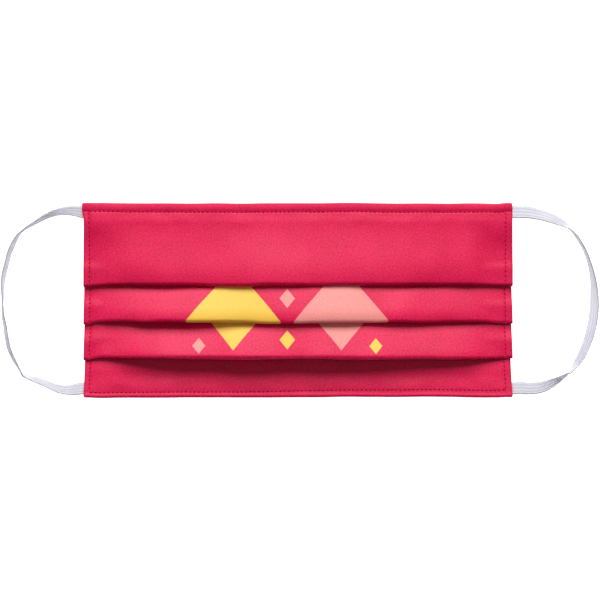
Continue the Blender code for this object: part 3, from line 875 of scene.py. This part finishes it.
def add_stitches(lines):
    """Each stitch is a short strand that arches out of the cloth and dives in at both ends."""
    bm = bmesh.new()
    layer = bm.loops.layers.uv.new("cloth")
    draw = random.Random(11)
    for line in lines:
        for n in range(0, len(line) - STITCH_DIVISIONS, STITCH_DIVISIONS):
            a, up_a = line[n]
            b, up_b = line[n + STITCH_DIVISIONS]
            along = (b - a).normalized()
            up = (up_a + up_b).normalized()
            aside = along.cross(up).normalized()
            middle = (a + b) / 2 + aside * draw.uniform(-STITCH_ASIDE, STITCH_ASIDE) * MM
            long = STITCH_LONG * draw.uniform(0.92, 1.06)
            rings = []
            for k in range(STRAND_RINGS):
                t = k / (STRAND_RINGS - 1) * 2 - 1
                slim = THREAD / 2 * (1 - 0.55 * t * t)
                rise = THREAD * 0.25 - THREAD * 0.75 * t * t
                centre = middle + along * (long / 2 * t) + up * rise
                ring = []
                for m in range(STRAND_SIDES):
                    angle = 2 * math.pi * m / STRAND_SIDES
                    spoke = aside * (slim * math.cos(angle))
                    ring.append(bm.verts.new(centre + spoke + up * (slim * math.sin(angle))))
                rings.append(ring)
            for ring, following in zip(rings, rings[1:]):
                for m in range(STRAND_SIDES):
                    o = (m + 1) % STRAND_SIDES
                    bm.faces.new((ring[m], ring[o], following[o], following[m]))
            bm.faces.new(rings[0])
            bm.faces.new(rings[-1])
    bmesh.ops.recalc_face_normals(bm, faces=bm.faces)
    for face in bm.faces:
        for loop in face.loops:
            loop[layer].uv = (loop.vert.co.x, loop.vert.co.y)
    mesh = bpy.data.meshes.new("seam_thread")
    bm.to_mesh(mesh)
    bm.free()
    mesh.materials.append(polyester_thread())
    mesh.shade_smooth()
    thread = bpy.data.objects.new("seam_thread", mesh)
    bpy.context.scene.collection.objects.link(thread)
    return thread


# ---- Ear loops
def through(points, share):
    """A point, with its tilt, on a smooth curve through the route's points."""
    spans = len(points) - 1
    k = min(int(share * spans), spans - 1)
    t = share * spans - k
    a, b = points[k], points[k + 1]
    before = points[k - 1] if k else Vector((-b.x, *b[1:]))
    after = points[k + 2] if k + 2 <= spans else Vector((-a.x, *a[1:]))
    lean_a = (b - before) / 2
    lean_b = (after - a) / 2
    return (
        a * (2 * t**3 - 3 * t**2 + 1)
        + lean_a * (t**3 - 2 * t**2 + t)
        + b * (3 * t**2 - 2 * t**3)
        + lean_b * (t**3 - t**2)
    )


def even_stations(route, reach):
    """Places along one loop at even steps: out from the side, up from the middle, tilt, width."""
    points = []
    for row in route:
        tilt = math.radians(row["tilt"])
        points.append(Vector((row["out"] * reach, row["up"] * SEAM_UP, tilt, row["wide"])))
    points = [through(points, n / ROUTE_PARTS) for n in range(ROUTE_PARTS + 1)]
    first, last = (Vector((-SEWN_IN, up, 0.0, 1.0)) for up in (SEAM_UP, -SEAM_UP))
    points = [first] + points + [last]
    runs = [0.0]
    for a, b in zip(points, points[1:]):
        runs.append(runs[-1] + (b.xy - a.xy).length)
    steps = spread(0.0, runs[-1], LOOP_STEP)
    table = np.array([tuple(p) for p in points])
    return steps, [Vector(tuple(np.interp(s, runs, table[:, k]) for k in range(4))) for s in steps]


def band_outline():
    """Half widths and heights round the elastic's cross section, with its ribs on both faces."""
    wide, thick = ELASTIC_WIDTH / 2, ELASTIC_THICK / 2
    pitch = ELASTIC_WIDTH / RIBS
    upper = []
    parts = RIBS * RIB_PARTS
    for n in range(parts + 1):
        u = mix(wide, -wide, n / parts)
        rib = 0.5 - 0.5 * math.cos(2 * math.pi * (u + wide) / pitch)
        height = thick - RIB_DEEP * (1 - rib)
        if n in (0, parts):
            height = thick * EDGE_SHARE
        upper.append((u, height))
    return upper + [(u, -v) for u, v in reversed(upper)]


def add_loop(name, side, route, reach, material):
    """One elastic: its cross section carried along its route, leaning and narrowing as it goes."""
    steps, stations = even_stations(route, reach)
    outline = band_outline()
    verts = []
    wide, thick = ELASTIC_WIDTH / 2, ELASTIC_THICK / 2
    for n, station in enumerate(stations):
        before = stations[max(0, n - 1)]
        after = stations[min(len(stations) - 1, n + 1)]
        along = (after.xy - before.xy).normalized()
        outwards = Vector((-side * along.y, along.x, 0.0))
        tilt = station.z
        across = outwards * math.cos(tilt) + Vector((0, 0, math.sin(tilt)))
        above = Vector((0, 0, math.cos(tilt))) - outwards * math.sin(tilt)
        narrow = station.w
        resting = wide * narrow * abs(math.sin(tilt)) + thick * abs(math.cos(tilt))
        from_seam = max(0.0, min(steps[n], steps[-1] - steps[n]) - SEWN_IN)
        height = mix(SEAM_HEIGHT, resting, ease(from_seam / EXIT_DROP))
        x = PANEL_MIDDLE + side * (PANEL_WIDTH / 2 + station.x)
        middle = Vector((x, station.y, height))
        picot = PICOT_DEEP * math.cos(2 * math.pi * steps[n] / PICOT_PITCH)
        for u, v in outline:
            stretch = 1 + picot / wide * (abs(u) / wide) ** 8
            verts.append(middle + across * (u * stretch * narrow) + above * v)
    ring = len(outline)
    faces = []
    for n in range(len(stations) - 1):
        for m in range(ring):
            o = (m + 1) % ring
            a, b = n * ring, (n + 1) * ring
            faces.append((a + m, a + o, b + o, b + m))
    faces.append(tuple(reversed(range(ring))))
    faces.append(tuple(range(len(verts) - ring, len(verts))))
    loop = add_mesh(name, verts, faces, [material])
    uv = loop.data.uv_layers.new(name="cloth")
    for polygon in loop.data.polygons:
        for index, vert in zip(polygon.loop_indices, polygon.vertices):
            n, m = divmod(vert, ring)
            uv.data[index].uv = (outline[m][0] + wide, steps[n])
    outward_faces(loop)
    return loop


def outward_faces(piece):
    """Turn every face to point outwards."""
    bm = bmesh.new()
    bm.from_mesh(piece.data)
    bmesh.ops.recalc_face_normals(bm, faces=bm.faces)
    bm.to_mesh(piece.data)
    bm.free()


# ---- Table, light and camera
def add_stage():
    """The table: matt white paper with a faint fibre, which prints as plain white in the photo."""
    bpy.ops.object.select_all(action="DESELECT")
    bpy.ops.mesh.primitive_plane_add(size=TABLE_SIZE, location=(0, 0, 0))
    table = bpy.context.object
    table.name = "studio_table"
    table.data.transform(table.matrix_world)
    table.matrix_world.identity()
    material, tree, shader = new_material("matt_white_paper")
    fibre = add_node(
        tree, "ShaderNodeTexNoise",
        {"Vector": add_node(tree, "ShaderNodeTexCoord").outputs["Object"], "Scale": 900.0},
    )
    tone = add_node(
        tree, "ShaderNodeMix",
        {"Factor": fibre.outputs["Fac"], "A": linear("#BABABB"), "B": linear("#C0C0C0")},
        data_type="RGBA",
    )
    tree.links.new(tone.outputs["Result"], shader.inputs["Base Color"])
    shader.inputs["Roughness"].default_value = 1.0
    shader.inputs["Specular IOR Level"].default_value = 0.0
    shader.inputs["Emission Color"].default_value = (1.0, 1.0, 1.0, 1.0)
    shader.inputs["Emission Strength"].default_value = TABLE_GLOW
    table.data.materials.append(material)
    table.visible_glossy = False
    return table


def add_light(name, place, size, power, colour, gloss):
    """A soft rectangular light turned towards the middle of the mask."""
    light = bpy.data.lights.new(name, "AREA")
    light.shape = "RECTANGLE"
    light.size, light.size_y = size
    light.energy = power
    light.color = colour
    lamp = bpy.data.objects.new(name, light)
    lamp.location = place
    lamp.visible_camera = False
    lamp.visible_glossy = gloss
    lamp.rotation_euler = (Vector((0, 0, 0)) - Vector(place)).to_track_quat("-Z", "Y").to_euler()
    bpy.context.scene.collection.objects.link(lamp)


def add_camera():
    """Straight above the mask, far enough back for the photo's scale."""
    data = bpy.data.cameras.new("camera")
    data.lens = 120.0
    data.sensor_width = 36.0
    data.clip_start = 0.05
    camera = bpy.data.objects.new("camera", data)
    frame_width = PIXELS * WIDTH_PER_PIXEL
    camera.location = (0.0, 0.0, frame_width * data.lens / data.sensor_width)
    bpy.context.scene.collection.objects.link(camera)
    bpy.context.scene.camera = camera


def add_surroundings():
    """A weak white surrounding and two soft lights."""
    world = bpy.data.worlds.new("studio")
    bpy.context.scene.world = world
    world.use_nodes = True
    background = world.node_tree.nodes["Background"]
    background.inputs["Color"].default_value = (1.0, 1.0, 1.0, 1.0)
    background.inputs["Strength"].default_value = FILL
    world.cycles_visibility.glossy = False
    view = bpy.context.scene.view_settings
    view.view_transform = "Standard"
    view.look = "None"
    for row in LIGHTS:
        add_light(**row)


add_camera()
add_stage()
add_surroundings()

cloth, places, rows, lengths, outer, normals = add_panel()
thread = add_stitches(stitch_lines(places, rows, lengths, outer, normals))
white = braided_elastic()
left = add_loop("left_elastic_band", -1, LOOP_LEFT, REACH_LEFT, white)
right = add_loop("right_elastic_band", 1, LOOP_RIGHT, REACH_RIGHT, white)

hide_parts("mask_panel")
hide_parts("ear_loop_left")
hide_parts("ear_loop_right")
for piece in (cloth, thread, left, right):
    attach(piece, "root")
